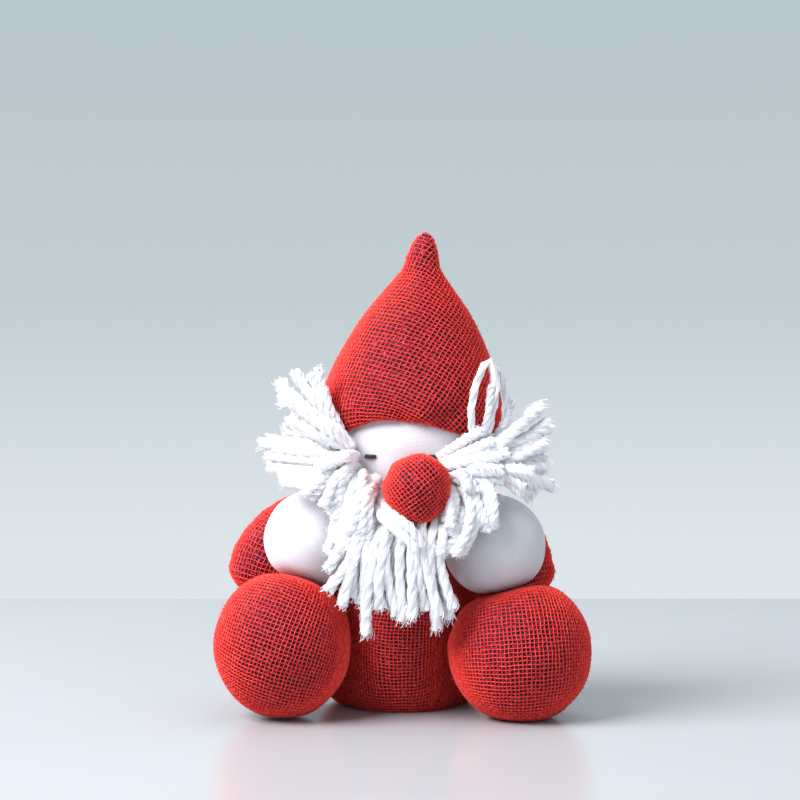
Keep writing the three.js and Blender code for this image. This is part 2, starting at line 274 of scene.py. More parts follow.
def ball_rings(shape, inset):
    """Rings of points from the middle of the cloth to the gather, and where each lies on the flat cloth."""
    front = shape["front"]
    across = unit(np.cross((0, 0, 1), front)) if abs(front[2]) < 0.95 else np.array((1.0, 0, 0))
    angle = np.linspace(FIRST_RING, LAST_RING, ALONG)[:, None]
    round_ = shape["start"] + np.linspace(0, 2 * pi, AROUND + 1)[None, :]
    turned = smooth_step(angle, 0.9, 2.9)
    axis = front * (1 - turned) - shape["gather"] * turned
    axis = axis / np.linalg.norm(axis, axis=1, keepdims=True)
    across = across - axis * (axis @ across)[:, None]
    across = across / np.linalg.norm(across, axis=1, keepdims=True)
    up = np.cross(axis, across)
    direction = (
        np.cos(angle)[..., None] * axis[:, None]
        + (np.sin(angle) * np.cos(round_))[..., None] * across[:, None]
        + (np.sin(angle) * np.sin(round_))[..., None] * up[:, None]
    )
    size = shape["radii"].mean()
    drawn = smooth_step(angle, 2.1, 3.0)
    pleats = 0.03 * size * drawn * np.sin(13 * round_ + 1.5 * np.sin(3 * round_))
    sunk = 0.12 * size * smooth_step(angle, 2.75, 3.02)
    x, y, z = np.moveaxis(direction, -1, 0)
    lumps = shape["lumpy"] * size * (np.sin(5 * x + 7 * z) + np.sin(6 * y - 4 * z + 2))
    distance = reach(shape, direction) - inset + (pleats + lumps) * np.ones_like(round_) - sunk
    if shape["tube"]:
        seam = np.minimum(round_ - round_[0, 0], round_[0, -1] - round_) * size * np.sin(angle)
        distance = distance - 0.35 * np.exp(-((seam / 1.8) ** 2)) * smooth_step(angle, 0.6, 1.0)
        columns = 2 * round(pi * size / PITCH) + 0.02
        flat_x = (round_ - round_.mean()) / (2 * pi) * columns * PITCH * np.ones_like(angle)
        flat_y = (angle - pi / 2) * size * np.ones_like(round_)
    else:
        rho = size * np.where(angle < DISC_LIMIT, angle, DISC_LIMIT + 0.4 * (angle - DISC_LIMIT))
        flat_x = rho * np.cos(round_ + shape["turn"])
        flat_y = rho * np.sin(round_ + shape["turn"])
    points = shape["centre"] + direction[:, :-1] * distance[:, :-1, None]
    return points, np.stack([flat_x, flat_y], -1)


def skin(name, points, flat, size=MM, hollow=False):
    """A closed skin over rings of points, with its place on the flat cloth as the map "weave".

    A hollow skin starts at an opening, so its first face isn't part of the cloth."""
    rings, around = points.shape[:2]
    faces = [
        (i * around + j, i * around + after, (i + 1) * around + after, (i + 1) * around + j)
        for i in range(rings - 1) for j, after in enumerate([*range(1, around), 0])
    ]
    faces.append(tuple(reversed(range(around))))
    faces.append(tuple((rings - 1) * around + j for j in range(around)))
    mesh = bpy.data.meshes.new(name)
    mesh.from_pydata((points.reshape(-1, 3) * size).tolist(), [], faces)
    corners = [
        flat[i + di, j + dj]
        for i in range(rings - 1) for j in range(around) for di, dj in ((0, 0), (0, 1), (1, 1), (1, 0))
    ]
    corners += [flat[0, 0 if hollow else j] for j in reversed(range(around))]
    corners += [flat[-1, 0]] * around
    mesh.uv_layers.new(name="weave").data.foreach_set("uv", (np.array(corners) * MM).ravel())
    shell = bmesh.new()
    shell.from_mesh(mesh)
    bmesh.ops.recalc_face_normals(shell, faces=shell.faces)
    shell.to_mesh(mesh)
    shell.free()
    mesh.shade_smooth()
    return mesh


SIM_SIZE = 20 * MM  # the cloth is filled at twenty times its size, where the solver is steady
FRAMES = 20
FILLING = {
    "quality": 5, "mass": 0.3, "tension_stiffness": 20, "compression_stiffness": 6, "shear_stiffness": 4,
    "bending_stiffness": 0.3, "use_pressure": True, "uniform_pressure_force": 4, "vertex_group_mass": "tied",
}


def stuff(shapes, cap):
    """Fills each skin with wadding: cloth under pressure, tied at its gather, moved no more than `cap` mm."""
    waiting = []
    for name, points in shapes.items():
        count, around = points.shape[:2]
        mesh = skin(name, points, np.zeros((count, around + 1, 2)), SIM_SIZE)
        thing = new_object(f"{name}_filling_up", mesh)
        tied = thing.vertex_groups.new(name="tied")
        tied.add(list(range((count - 2) * around, count * around)), 1, "REPLACE")
        cloth = thing.modifiers.new("Cloth", "CLOTH")
        for setting, value in FILLING.items():
            setattr(cloth.settings, setting, value)
        cloth.settings.effector_weights.gravity = 0
        cloth.point_cache.frame_end = FRAMES
        waiting.append((name, thing))
    for step in range(1, FRAMES + 1):
        scene.frame_set(step)
    graph = bpy.context.evaluated_depsgraph_get()
    for name, thing in waiting:
        filled = np.empty(len(thing.data.vertices) * 3)
        thing.evaluated_get(graph).data.vertices.foreach_get("co", filled)
        moved = filled.reshape(shapes[name].shape) / SIM_SIZE - shapes[name]
        length = np.linalg.norm(moved, axis=-1, keepdims=True)
        shapes[name] = shapes[name] + moved * np.minimum(1, cap / np.maximum(length, 1e-9))
        bpy.data.objects.remove(thing)
    scene.frame_set(1)


rings, flats = {}, {}
for name, shape in BALLS.items():
    white = "hand" in name or name == "head"
    rings[name], flats[name] = ball_rings(shape, WHITE_INSET if white else RED_INSET)
stuff(rings, cap=0.6)

# red cotton: loosely spun yarn, dyed bright, whose fine hairs soften every edge
red_cotton, tree = new_material("dyed red cotton, open plain weave")
red = mottled(tree, 900, 3, [(0.3, "#dd2c28"), (0.5, "#f2372f"), (0.75, "#fc5a4a")])
place = add(tree, "ShaderNodeTexCoord").outputs["Object"]
fibres = add(tree, "ShaderNodeTexNoise", {"Vector": place, "Scale": 5000, "Detail": 2}).outputs["Fac"]
grain = add(tree, "ShaderNodeBump", {"Height": fibres, "Strength": 0.5, "Distance": 0.08 * MM}).outputs[0]
coat(tree, {
    "Base Color": red, "Roughness": 0.8, "Normal": grain,
    "Sheen Weight": 0.4, "Sheen Roughness": 0.5, "Sheen Tint": tint("#ff8a80"),
})

# dark lining: a second layer in navy and wine threads that shows through the open weave
lining, tree = new_material("dark lining, brushed cotton")
dark = mottled(tree, 1400, 2, [(0.36, "#140b1f"), (0.52, "#3a0f29"), (0.6, "#75203c"), (0.7, "#b8546c")])
coat(tree, {"Base Color": dark, "Roughness": 0.9})


def inputs_of(tree, sockets):
    """Gives a node tree its geometry in and out and its named inputs."""
    tree.interface.new_socket("Geometry", in_out="INPUT", socket_type="NodeSocketGeometry")
    for name, kind in sockets.items():
        tree.interface.new_socket(name, in_out="INPUT", socket_type=f"NodeSocket{kind}")
    tree.interface.new_socket("Geometry", in_out="OUTPUT", socket_type="NodeSocketGeometry")
    return add(tree, "NodeGroupInput").outputs


def calculate(tree, operation, first, second=0.0, third=0.0):
    return add(tree, "ShaderNodeMath", {0: first, 1: second, 2: third}, operation=operation).outputs[0]


def times(tree, first, second):
    return calculate(tree, "MULTIPLY", first, second)


def plus(tree, first, second):
    return calculate(tree, "ADD", first, second)


def combine(tree, operation, first, second=(0, 0, 0), scale=1.0):
    node = add(tree, "ShaderNodeVectorMath", {0: first, 1: second, 3: scale}, operation=operation)
    return node.outputs["Value" if operation in ("DOT_PRODUCT", "LENGTH") else "Vector"]


# The woven cloth: threads laid over a skin along the grid of its flat cloth, over and under each
# other by turns, with loose fibres standing off them.
weaving = bpy.data.node_groups.new("woven threads", "GeometryNodeTree")
tree = weaving
given = inputs_of(tree, {
    "Pitch": "Float", "Columns": "Int", "Rows": "Int", "Thread width": "Float", "Thread height": "Float",
    "Lift": "Float", "Fuzz per area": "Float", "Fuzz length": "Float", "Seed": "Int",
    "Thread": "Material", "Lining": "Material",
})
across = times(tree, given["Pitch"], calculate(tree, "SUBTRACT", given["Columns"], 1))
along = times(tree, given["Pitch"], calculate(tree, "SUBTRACT", given["Rows"], 1))
grid = add(tree, "GeometryNodeMeshGrid", {
    "Size X": across, "Size Y": along, "Vertices X": given["Columns"], "Vertices Y": given["Rows"],
}).outputs["Mesh"]
wires = add(tree, "GeometryNodeDeleteGeometry", {"Geometry": grid}, domain="FACE", mode="ONLY_FACE").outputs[0]
spot = add(tree, "GeometryNodeInputPosition").outputs[0]
cell = add(tree, "ShaderNodeSeparateXYZ", {0: combine(tree, "DIVIDE", spot, given["Pitch"])}).outputs
count = plus(tree, calculate(tree, "ROUND", cell["X"]), calculate(tree, "ROUND", cell["Y"]))
odd = calculate(tree, "FLOORED_MODULO", count, 2)
over = calculate(tree, "MULTIPLY_ADD", odd, 2, -1)
drift = add(tree, "ShaderNodeTexNoise", {"Vector": spot, "Scale": 260, "Detail": 1}).outputs["Color"]
drift = combine(tree, "SCALE", combine(tree, "SUBTRACT", drift, (0.5, 0.5, 0.5)), scale=0.9 * MM)
laid = combine(tree, "ADD", spot, combine(tree, "MULTIPLY", drift, (1, 1, 0)))
flat_map = add(tree, "GeometryNodeInputNamedAttribute", {"Name": "weave"}, data_type="FLOAT_VECTOR").outputs[0]
facing = add(tree, "GeometryNodeInputNormal").outputs[0]
found = add(tree, "GeometryNodeSampleUVSurface", {
    "Mesh": given["Geometry"], "Value": spot, "UV Map": flat_map, "Sample UV": laid,
}, data_type="FLOAT_VECTOR").outputs
outward = add(tree, "GeometryNodeSampleUVSurface", {
    "Mesh": given["Geometry"], "Value": facing, "UV Map": flat_map, "Sample UV": laid,
}, data_type="FLOAT_VECTOR").outputs["Value"]
missing = add(tree, "FunctionNodeBooleanMath", {0: found["Is Valid"]}, operation="NOT").outputs[0]
ends = add(tree, "GeometryNodeInputMeshEdgeVertices").outputs
edge_line = combine(tree, "SUBTRACT", ends["Position 1"], ends["Position 2"])
gap = add(tree, "ShaderNodeSeparateXYZ", {0: edge_line}).outputs
round_section = add(tree, "GeometryNodeCurvePrimitiveCircle", {"Resolution": 5, "Radius": 0.5}).outputs["Curve"]
section_size = add(tree, "ShaderNodeCombineXYZ", {
    0: given["Thread width"], 1: given["Thread height"], 2: 1,
}).outputs[0]
section = add(tree, "GeometryNodeTransform", {"Geometry": round_section, "Scale": section_size}).outputs[0]
uneven = add(tree, "ShaderNodeTexNoise", {"Vector": spot, "Scale": 700, "Detail": 1}).outputs["Fac"]
thickness = calculate(tree, "MULTIPLY_ADD", uneven, 0.6, 0.7)
joined = add(tree, "GeometryNodeJoinGeometry")
for axis, sign in (("X", 1), ("Y", -1)):
    other = calculate(tree, "ABSOLUTE", gap[axis])
    wrong = add(tree, "FunctionNodeCompare", {
        0: other, 1: 0.1 * MM,
    }, data_type="FLOAT", operation="GREATER_THAN").outputs[0]
    lines = add(tree, "GeometryNodeDeleteGeometry", {
        "Geometry": wires, "Selection": wrong,
    }, domain="EDGE", mode="EDGE_FACE").outputs[0]
    lines = add(tree, "GeometryNodeDeleteGeometry", {
        "Geometry": lines, "Selection": missing,
    }, domain="POINT").outputs[0]
    height = times(tree, times(tree, over, given["Thread height"]), 0.42 * sign)
    lift = combine(tree, "SCALE", outward, scale=plus(tree, height, given["Lift"]))
    lines = add(tree, "GeometryNodeStoreNamedAttribute", {
        "Geometry": lines, "Name": "outward", "Value": outward,
    }, data_type="FLOAT_VECTOR", domain="POINT").outputs[0]
    lines = add(tree, "GeometryNodeSetPosition", {
        "Geometry": lines, "Position": combine(tree, "ADD", found["Value"], lift),
    }).outputs[0]
    threads = add(tree, "GeometryNodeMeshToCurve", {"Mesh": lines}).outputs[0]
    kept = add(tree, "GeometryNodeInputNamedAttribute", {
        "Name": "outward",
    }, data_type="FLOAT_VECTOR").outputs[0]
    threads = add(tree, "GeometryNodeSetCurveNormal", {
        "Curve": threads, "Normal": kept,
    }, mode="FREE").outputs[0]
    body = add(tree, "GeometryNodeCurveToMesh", {
        "Curve": threads, "Profile Curve": section, "Scale": thickness, "Fill Caps": True,
    }).outputs[0]
    tree.links.new(body, joined.inputs[0])
hair = add(tree, "GeometryNodeCurveQuadraticBezier", {
    "Resolution": 3, "Start": (0, 0, 0), "Middle": (0.1, 0, 0.6), "End": (0.55, 0.1, 0.9),
}).outputs[0]
hair_section = add(tree, "GeometryNodeCurvePrimitiveCircle", {"Resolution": 3, "Radius": 0.03}).outputs[0]
hair = add(tree, "GeometryNodeCurveToMesh", {
    "Curve": hair, "Profile Curve": hair_section, "Fill Caps": True,
}).outputs[0]
scatter = add(tree, "GeometryNodeDistributePointsOnFaces", {
    "Mesh": given["Geometry"], "Density": given["Fuzz per area"], "Seed": given["Seed"],
}, distribute_method="RANDOM").outputs
lean = add(tree, "FunctionNodeRandomValue", {
    0: (-0.9, -0.9, 0), 1: (0.9, 0.9, 6.28), "Seed": given["Seed"],
}, data_type="FLOAT_VECTOR").outputs[0]
lean = add(tree, "FunctionNodeEulerToRotation", {0: lean}).outputs[0]
stand = add(tree, "FunctionNodeRotateRotation", {
    0: scatter["Rotation"], 1: lean,
}, rotation_space="LOCAL").outputs[0]
long = add(tree, "FunctionNodeRandomValue", {
    2: 0.4, 3: 1.3, "Seed": given["Seed"],
}, data_type="FLOAT").outputs[1]
long = times(tree, long, given["Fuzz length"])
fuzz = add(tree, "GeometryNodeInstanceOnPoints", {
    "Points": scatter["Points"], "Instance": hair, "Rotation": stand, "Scale": long,
}).outputs[0]
tree.links.new(fuzz, joined.inputs[0])
cloth_part = add(tree, "GeometryNodeRealizeInstances", {0: joined.outputs[0]}).outputs[0]
cloth_part = add(tree, "GeometryNodeSetMaterial", {
    "Geometry": cloth_part, "Material": given["Thread"],
}).outputs[0]
cloth_part = add(tree, "GeometryNodeSetShadeSmooth", {0: cloth_part}).outputs[0]
lining_part = add(tree, "GeometryNodeSetMaterial", {
    "Geometry": given["Geometry"], "Material": given["Lining"],
}).outputs[0]
whole = add(tree, "GeometryNodeJoinGeometry")
tree.links.new(lining_part, whole.inputs[0])
tree.links.new(cloth_part, whole.inputs[0])
tree.links.new(whole.outputs[0], add(tree, "NodeGroupOutput").inputs[0])


def grow(thing, tree, values):
    """Runs a node tree on an object and keeps the result as its plain mesh."""
    modifier = thing.modifiers.new(tree.name, "NODES")
    modifier.node_group = tree
    for name, value in values.items():
        modifier[tree.interface.items_tree[name].identifier] = value
    graph = bpy.context.evaluated_depsgraph_get()
    mesh = bpy.data.meshes.new_from_object(thing.evaluated_get(graph))
    thing.modifiers.clear()
    old = thing.data
    thing.data = mesh
    bpy.data.meshes.remove(old)
    return thing


def refine(thing):
    """One level of subdivision, kept."""
    modifier = thing.modifiers.new("subdivision", "SUBSURF")
    modifier.levels = modifier.render_levels = 1
    modifier.uv_smooth = "NONE"
    graph = bpy.context.evaluated_depsgraph_get()
    mesh = bpy.data.meshes.new_from_object(thing.evaluated_get(graph))
    thing.modifiers.clear()
    thing.data = mesh
    return thing


def weave(thing, seed):
    """Covers a skin with the red cloth."""
    flat = np.empty(len(thing.data.loops) * 2)
    thing.data.uv_layers["weave"].data.foreach_get("uv", flat)
    half = np.abs(flat.reshape(-1, 2)).max(axis=0) / (PITCH * MM)
    return grow(thing, weaving, {
        "Pitch": PITCH * MM, "Columns": 2 * int(half[0]) + 3, "Rows": 2 * int(half[1]) + 3,
        "Thread width": 0.78 * MM, "Thread height": 0.24 * MM, "Lift": 0.1 * MM,
        "Fuzz per area": 0.45 / MM ** 2, "Fuzz length": 1.1 * MM, "Seed": seed,
        "Thread": red_cotton, "Lining": lining,
    })


# white cotton: a fine close plain weave that shows as a faint grid, drawn as a bump with painted shade,
# blue-grey, in the gaps between the threads
white_cotton, tree = new_material("bleached cotton, fine plain weave")
flat = add(tree, "ShaderNodeUVMap", uv_map="weave").outputs[0]
FINE_PITCH = 0.7 * MM  # coarser than such cloth really is, so that the weave shows
waves = []
for axis in (0, 1):
    turned = add(tree, "ShaderNodeSeparateXYZ", {0: flat}).outputs[axis]
    beat = times(tree, turned, 2 * pi / FINE_PITCH)
    waves.append(calculate(tree, "SINE", beat))
crossing = times(tree, waves[0], waves[1])
ribs = plus(tree, calculate(tree, "ABSOLUTE", waves[0]), calculate(tree, "ABSOLUTE", waves[1]))
relief = times(tree, ribs, 0.5)
relief = plus(tree, relief, times(tree, crossing, 0.5))
# the threads close up towards the gather, where they are too fine to see
closed_up = add(tree, "ShaderNodeAttribute", attribute_name="closed up").outputs["Fac"]
relief = add(tree, "ShaderNodeMix", {"Factor": closed_up, "A": relief, "B": 0.6}).outputs["Result"]
grain = add(tree, "ShaderNodeBump", {"Height": relief, "Strength": 1.0, "Distance": 0.18 * MM}).outputs[0]
# painted shade: the colour darkens to blue-grey where the weave's relief is low, between the threads, and is
# white on their crowns
painted_weave_shade = times(tree, relief, 0.6)
white = ramp(tree, painted_weave_shade, [(0.05, "#b9c1d4"), (0.3, "#f1f2f8"), (0.5, "#ffffff")])
coat(tree, {
    "Base Color": white, "Roughness": 0.75, "Normal": grain, "Sheen Weight": 0.15, "Sheen Roughness": 0.4,
})

# each ball and the moving part that it rides on
RED_BALLS = {"body": "torso", "nose": "head", "right_foot": "right_leg", "left_foot": "left_leg"}
WHITE_BALLS = {"head": "head", "right_hand": "right_arm", "left_hand": "left_arm"}
for seed, (name, body) in enumerate({**RED_BALLS, **WHITE_BALLS}.items()):
    thing = refine(new_object(name, skin(name, rings[name], flats[name])))
    if name in RED_BALLS:
        weave(thing, seed)
    else:
        spots = np.empty(len(thing.data.vertices) * 3)
        thing.data.vertices.foreach_get("co", spots)
        away = spots.reshape(-1, 3) / MM - BALLS[name]["centre"]
        nearness = away @ BALLS[name]["gather"] / np.linalg.norm(away, axis=1)
        closed_up = thing.data.attributes.new("closed up", "FLOAT", "POINT")
        closed_up.data.foreach_set("value", smooth_step(nearness, -0.15, 0.45))
        thing.data.materials.append(white_cotton)
    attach(thing, body)
    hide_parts(f"{name}_cover", f"{name}_filling")

# --- sleeves --------------------------------------------------------------------------------
# Each sleeve is a stuffed tube of the same red cloth. It is stitched to the body at its round
# shoulder and hangs to a full, closed lower end, and the hand is sewn to its front.

SHOULDER_RADIUS, LOWER_RADIUS = 7.4, 10.2
CUT_RADIUS = 9.4  # of the tube that the cut cloth makes before it is stuffed
SLEEVE_RINGS = SLEEVE_AROUND = 40
SLEEVES = {
    "right": {"inwards": (0.58, -0.16, -0.79), "route": [
        (-22, 16, 50), (-29.5, 15.5, 48.5), (-37.4, 11, 39), (-40.8, 8.5, 29.5),
    ]},
    "left": {"inwards": (-0.58, -0.2, -0.79), "route": [
        (22.5, 18, 49.5), (28.5, 16, 47.5), (31.8, 10, 38), (34.8, 7, 28.5),
    ]},
}


def smooth_route(points, count):
    """Evenly spaced places along one smooth line through the points."""
    points = np.array(points, float)
    knots = np.concatenate([[2 * points[0] - points[1]], points, [2 * points[-1] - points[-2]]])
    line = []
    for a, b, c, d in zip(knots, knots[1:], knots[2:], knots[3:]):
        times = np.cumsum([0] + [np.linalg.norm(q - p) ** 0.5 for p, q in ((a, b), (b, c), (c, d))])
        t = np.linspace(times[1], times[2], 24)[:, None]

        def between(p, q, i, j):
            return (times[j] - t) / (times[j] - times[i]) * p + (t - times[i]) / (times[j] - times[i]) * q

        first, middle, last = between(a, b, 0, 1), between(b, c, 1, 2), between(c, d, 2, 3)
        line.append(between(between(first, middle, 0, 2), between(middle, last, 1, 3), 1, 2))
    line = np.concatenate(line)
    gone = np.concatenate([[0], np.cumsum(np.linalg.norm(np.diff(line, axis=0), axis=1))])
    steps = np.linspace(0, gone[-1], count)
    return np.stack([np.interp(steps, gone, line[:, k]) for k in range(3)], -1), steps


def tube_rings(route, steps, radius, around, columns):
    """Rings round a route, carried along it without twisting."""
    ahead = np.gradient(route, axis=0)
    ahead /= np.linalg.norm(ahead, axis=1, keepdims=True)
    side = unit(np.cross(ahead[0], (0.3, 0.9, 0.2)))
    turn = np.linspace(0, 2 * pi, around + 1)
    points = np.empty((len(route), around, 3))
    for i, forward in enumerate(ahead):
        side = unit(side - forward * (side @ forward))
        other = np.cross(forward, side)
        folds = 1 + 0.02 * np.sin(3 * turn[:-1] + steps[i] * 0.5)
        folds = radius[i] * (folds + 0.02 * np.sin(steps[i] * 1.3 + 2 * turn[:-1]))
        out = np.cos(turn[:-1, None]) * side + np.sin(turn[:-1, None]) * other
        points[i] = route[i] + folds[:, None] * out
    flat_x = (turn / (2 * pi) - 0.5) * columns * PITCH * np.ones((len(route), 1))
    flat_y = (steps - steps[-1] / 2)[:, None] * np.ones(around + 1)
    return points, np.stack([flat_x, flat_y], -1)


sleeve_rings, sleeve_flats = {}, {}
for side, plan in SLEEVES.items():
    inner_end = np.array(plan["route"][0]) + unit(plan["inwards"]) * SHOULDER_RADIUS
    route, steps = smooth_route([inner_end, *plan["route"]], SLEEVE_RINGS)
    length = steps[-1]
    radius = np.interp(
        steps,
        [0, 1.4, 4.2, 7.8, length * 0.42, length * 0.66, length - 5, length - 2.5, length - 0.8, length],
        [2.2, 4.4, SHOULDER_RADIUS - 1.2, SHOULDER_RADIUS - 0.4, SHOULDER_RADIUS + 0.6, LOWER_RADIUS - 0.4,
         LOWER_RADIUS - 1.4, LOWER_RADIUS - 3.4, 4, 2],
    )
    columns = 2 * round(pi * CUT_RADIUS / PITCH) + 0.02
    sleeve_rings[side], sleeve_flats[side] = tube_rings(route, steps, radius, SLEEVE_AROUND, columns)
stuff(sleeve_rings, cap=0.5)

for seed, side in enumerate(SLEEVES):
    thing = refine(new_object(f"{side}_sleeve_cloth", skin(side, sleeve_rings[side], sleeve_flats[side])))
    weave(thing, 20 + seed)
    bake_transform(thing)
    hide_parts(f"{side}_sleeve", f"{side}_sleeve_filling")

# --- hat ------------------------------------------------------------------------------------
# One piece of the red cloth cut on the slant, rolled into a cone and sewn down the back. Its brim
# is turned under and sewn to the head, and its tip is stuffed to a small bent finger.

HAT_OUTLINE = [
    (24.7, 0), (25.7, 5), (24.2, 11), (20.6, 19), (14.2, 30.5),
    (8.0, 38.6), (5.2, 42.6), (4.3, 46.6), (2.6, 51.2), (0.3, 52.9),
]  # (radius, height above the brim) up the outside
HEM = [(22.6, 6.5), (22.9, 2.5), (23.6, 0.2)]  # the turned-under edge, up the inside
BRIM_HEIGHT, BACK_DROP, DROP_ENDS, TIP_LEAN = 77, 11, 26, 3.8
CONE_SHARE = 0.44  # of a full turn that the flat cloth takes
CUT_ANGLE = radians(25)  # of the threads to the hat's height
HAT_AROUND, HAT_RINGS = 96, 64

profile, steps = smooth_route([(r, 0, z) for r, z in HEM + HAT_OUTLINE], HAT_RINGS)
around = np.linspace(-pi, pi, HAT_AROUND + 1)
to_tip = (steps[-1] - steps)[:, None]
radius, rise = profile[:, :1] - 0.5, profile[:, 2:]
fade = np.clip(1 - rise / DROP_ENDS, 0, None) ** 2
near_brim = np.exp(-((rise / 9) ** 2))
degrees_round = np.degrees(around)[None, :]
crumples = (
    -1.6 * np.exp(-(((degrees_round + 3 + 1.6 * rise) / 7) ** 2)) * near_brim
    - 1.5 * np.exp(-(((degrees_round - 16 - 2.0 * rise) / 7) ** 2)) * near_brim
    + 0.9 * np.exp(-(((degrees_round - 6 - 0.4 * rise) / 7) ** 2)) * near_brim
    + 0.35 * np.sin(3 * around + 0.12 * rise) * np.clip(rise / 20, 0, 1) * np.clip(radius / 12, 0, 1)
)
seam = np.minimum(around + pi, pi - around)[None, :] * radius
crumples = crumples - 0.3 * np.exp(-((seam / 1.1) ** 2)) * (radius > 3)
wide = radius + crumples
hat_x = BALLS["head"]["centre"][0] + TIP_LEAN * (rise / 53) ** 2 + wide * np.sin(around)
hat_y = BALLS["head"]["centre"][1] - wide * np.cos(around)
backness = (1 - np.cos(around)) / 2 * radius / 25
waves = (
    3.4 * np.exp(-(((degrees_round + 16) / 22) ** 2)) + 0.35 * np.sin(7 * around)
    + 0.4 * np.exp(-(((degrees_round - 10) / 14) ** 2)) - 0.9 * np.exp(-(((degrees_round - 48) / 14) ** 2))
)
hat_z = BRIM_HEIGHT + rise - BACK_DROP * fade * backness + waves * np.clip(1 - rise / 16, 0, 1) ** 2
hat_rings = {"hat": np.stack([hat_x, hat_y, hat_z], -1)[:, :-1]}
slant = CONE_SHARE * around + CUT_ANGLE
hat_flat = np.stack([to_tip * np.sin(slant), -to_tip * np.cos(slant)], -1)
stuff(hat_rings, cap=0.5)
hat = refine(new_object("hat", skin("hat", hat_rings["hat"], hat_flat, hollow=True)))
weave(hat, 30)
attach(hat, "head")
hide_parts("hat_cover", "hat_filling")

# --- yarn: beard, whiskers and the locks over the hat ---------------------------------------
# Thick soft yarn, spun loosely of bleached fibres. Short lengths are sewn to the cheeks and under
# the nose, and their cut ends have frayed into brushes.

# bleached wool and acrylic: matt, with a pale sheen where loose fibres catch the light
soft_yarn, tree = new_material("bleached wool yarn, loosely spun")
white = mottled(tree, 300, 3, [(0.3, "#fafaff"), (0.7, "#ffffff")])
coat(tree, {"Base Color": white, "Roughness": 0.9, "Sheen Weight": 0.4, "Sheen Roughness": 0.6})

# Loosely spun yarn: soft plies wound round each other, each a core with fibres lying on it that
# wander, and that fray towards the cut end.
spinning = bpy.data.node_groups.new("loosely spun yarn", "GeometryNodeTree")
tree = spinning
given = inputs_of(tree, {
    "Plies": "Int", "Ply offset": "Float", "Ply radius": "Float", "Turns": "Float", "Fibres": "Int",
    "Fibre radius": "Float", "Fray": "Float", "Wander": "Float", "Shortest": "Float", "Core": "Float",
    "Seed": "Int", "Yarn": "Material",
})
guides = add(tree, "GeometryNodeMeshToCurve", {"Mesh": given["Geometry"]}).outputs[0]
which = add(tree, "GeometryNodeInputIndex").outputs[0]
guides = add(tree, "GeometryNodeStoreNamedAttribute", {
    "Geometry": guides, "Name": "strand", "Value": which,
}, data_type="INT", domain="CURVE").outputs[0]
strand = add(tree, "GeometryNodeInputNamedAttribute", {"Name": "strand"}, data_type="INT").outputs[0]
along = add(tree, "GeometryNodeSplineParameter").outputs["Factor"]
normal = add(tree, "GeometryNodeInputNormal").outputs[0]
tangent = add(tree, "GeometryNodeInputTangent").outputs[0]
binormal = combine(tree, "CROSS_PRODUCT", tangent, normal)
spot = add(tree, "GeometryNodeInputPosition").outputs[0]
late = calculate(tree, "POWER", along, 6)
spread = calculate(tree, "MULTIPLY_ADD", late, given["Fray"], 1)
winding = times(tree, along, times(tree, given["Turns"], 2 * pi))
winding = calculate(tree, "MULTIPLY_ADD", strand, 1.7, winding)


def ring_at(angle, away):
    """The offset from a line at an angle round it."""
    sideways = combine(tree, "SCALE", normal, scale=calculate(tree, "COSINE", angle))
    upwards = combine(tree, "SCALE", binormal, scale=calculate(tree, "SINE", angle))
    return combine(tree, "SCALE", combine(tree, "ADD", sideways, upwards), scale=away)


def ply_middle(ply):
    """The offset from the strand's middle to the middle of one of its plies."""
    turned = calculate(tree, "DIVIDE", times(tree, ply, 2 * pi), given["Plies"])
    away = times(tree, given["Ply offset"], spread)
    return ring_at(plus(tree, winding, turned), away)


plies = add(tree, "GeometryNodeDuplicateElements", {
    "Geometry": guides, "Amount": given["Plies"],
}, domain="SPLINE").outputs
laid = ply_middle(plies["Duplicate Index"])
cores = add(tree, "GeometryNodeSetPosition", {"Geometry": plies["Geometry"], "Offset": laid}).outputs[0]
cores = add(tree, "GeometryNodeTrimCurve", {"Curve": cores, "End": 0.95}, mode="FACTOR").outputs[0]
core_size = times(tree, given["Ply radius"], given["Core"])
core_section = add(tree, "GeometryNodeCurvePrimitiveCircle", {"Resolution": 6, "Radius": core_size}).outputs[0]
cores = add(tree, "GeometryNodeCurveToMesh", {
    "Curve": cores, "Profile Curve": core_section, "Fill Caps": True,
}).outputs[0]

GOLDEN_ANGLE = 2.39996  # radians: spaces the fibres evenly round a ply, however many there are
copies = add(tree, "GeometryNodeDuplicateElements", {
    "Geometry": guides, "Amount": given["Fibres"],
}, domain="SPLINE").outputs
number = copies["Duplicate Index"]
laid = ply_middle(calculate(tree, "FLOORED_MODULO", number, given["Plies"]))
golden = calculate(tree, "MULTIPLY_ADD", number, GOLDEN_ANGLE, winding)
loose = calculate(tree, "FRACT", times(tree, number, 0.618))
loose = calculate(tree, "MULTIPLY_ADD", loose, 0.45, 0.7)
away = times(tree, times(tree, loose, given["Ply radius"]), spread)
on_ply = ring_at(golden, away)
apart = calculate(tree, "MULTIPLY_ADD", strand, 0.31, times(tree, number, 0.17))
apart = combine(tree, "SCALE", (0.37, 0.71, 0.53), scale=apart)
stray = add(tree, "ShaderNodeTexNoise", {
    "Vector": combine(tree, "ADD", spot, apart), "Scale": 190, "Detail": 1,
}).outputs["Color"]
stray = combine(tree, "SUBTRACT", stray, (0.5, 0.5, 0.5))
growing = calculate(tree, "MULTIPLY_ADD", calculate(tree, "POWER", along, 3), 0.8, 1)
stray = combine(tree, "SCALE", stray, scale=times(tree, given["Wander"], growing))
offset = combine(tree, "ADD", combine(tree, "ADD", laid, on_ply), stray)
fibres = add(tree, "GeometryNodeSetPosition", {"Geometry": copies["Geometry"], "Offset": offset}).outputs[0]
cut = add(tree, "FunctionNodeRandomValue", {
    2: given["Shortest"], 3: 1.0, "Seed": given["Seed"],
}, data_type="FLOAT").outputs[1]
fibres = add(tree, "GeometryNodeTrimCurve", {"Curve": fibres, "End": cut}, mode="FACTOR").outputs[0]
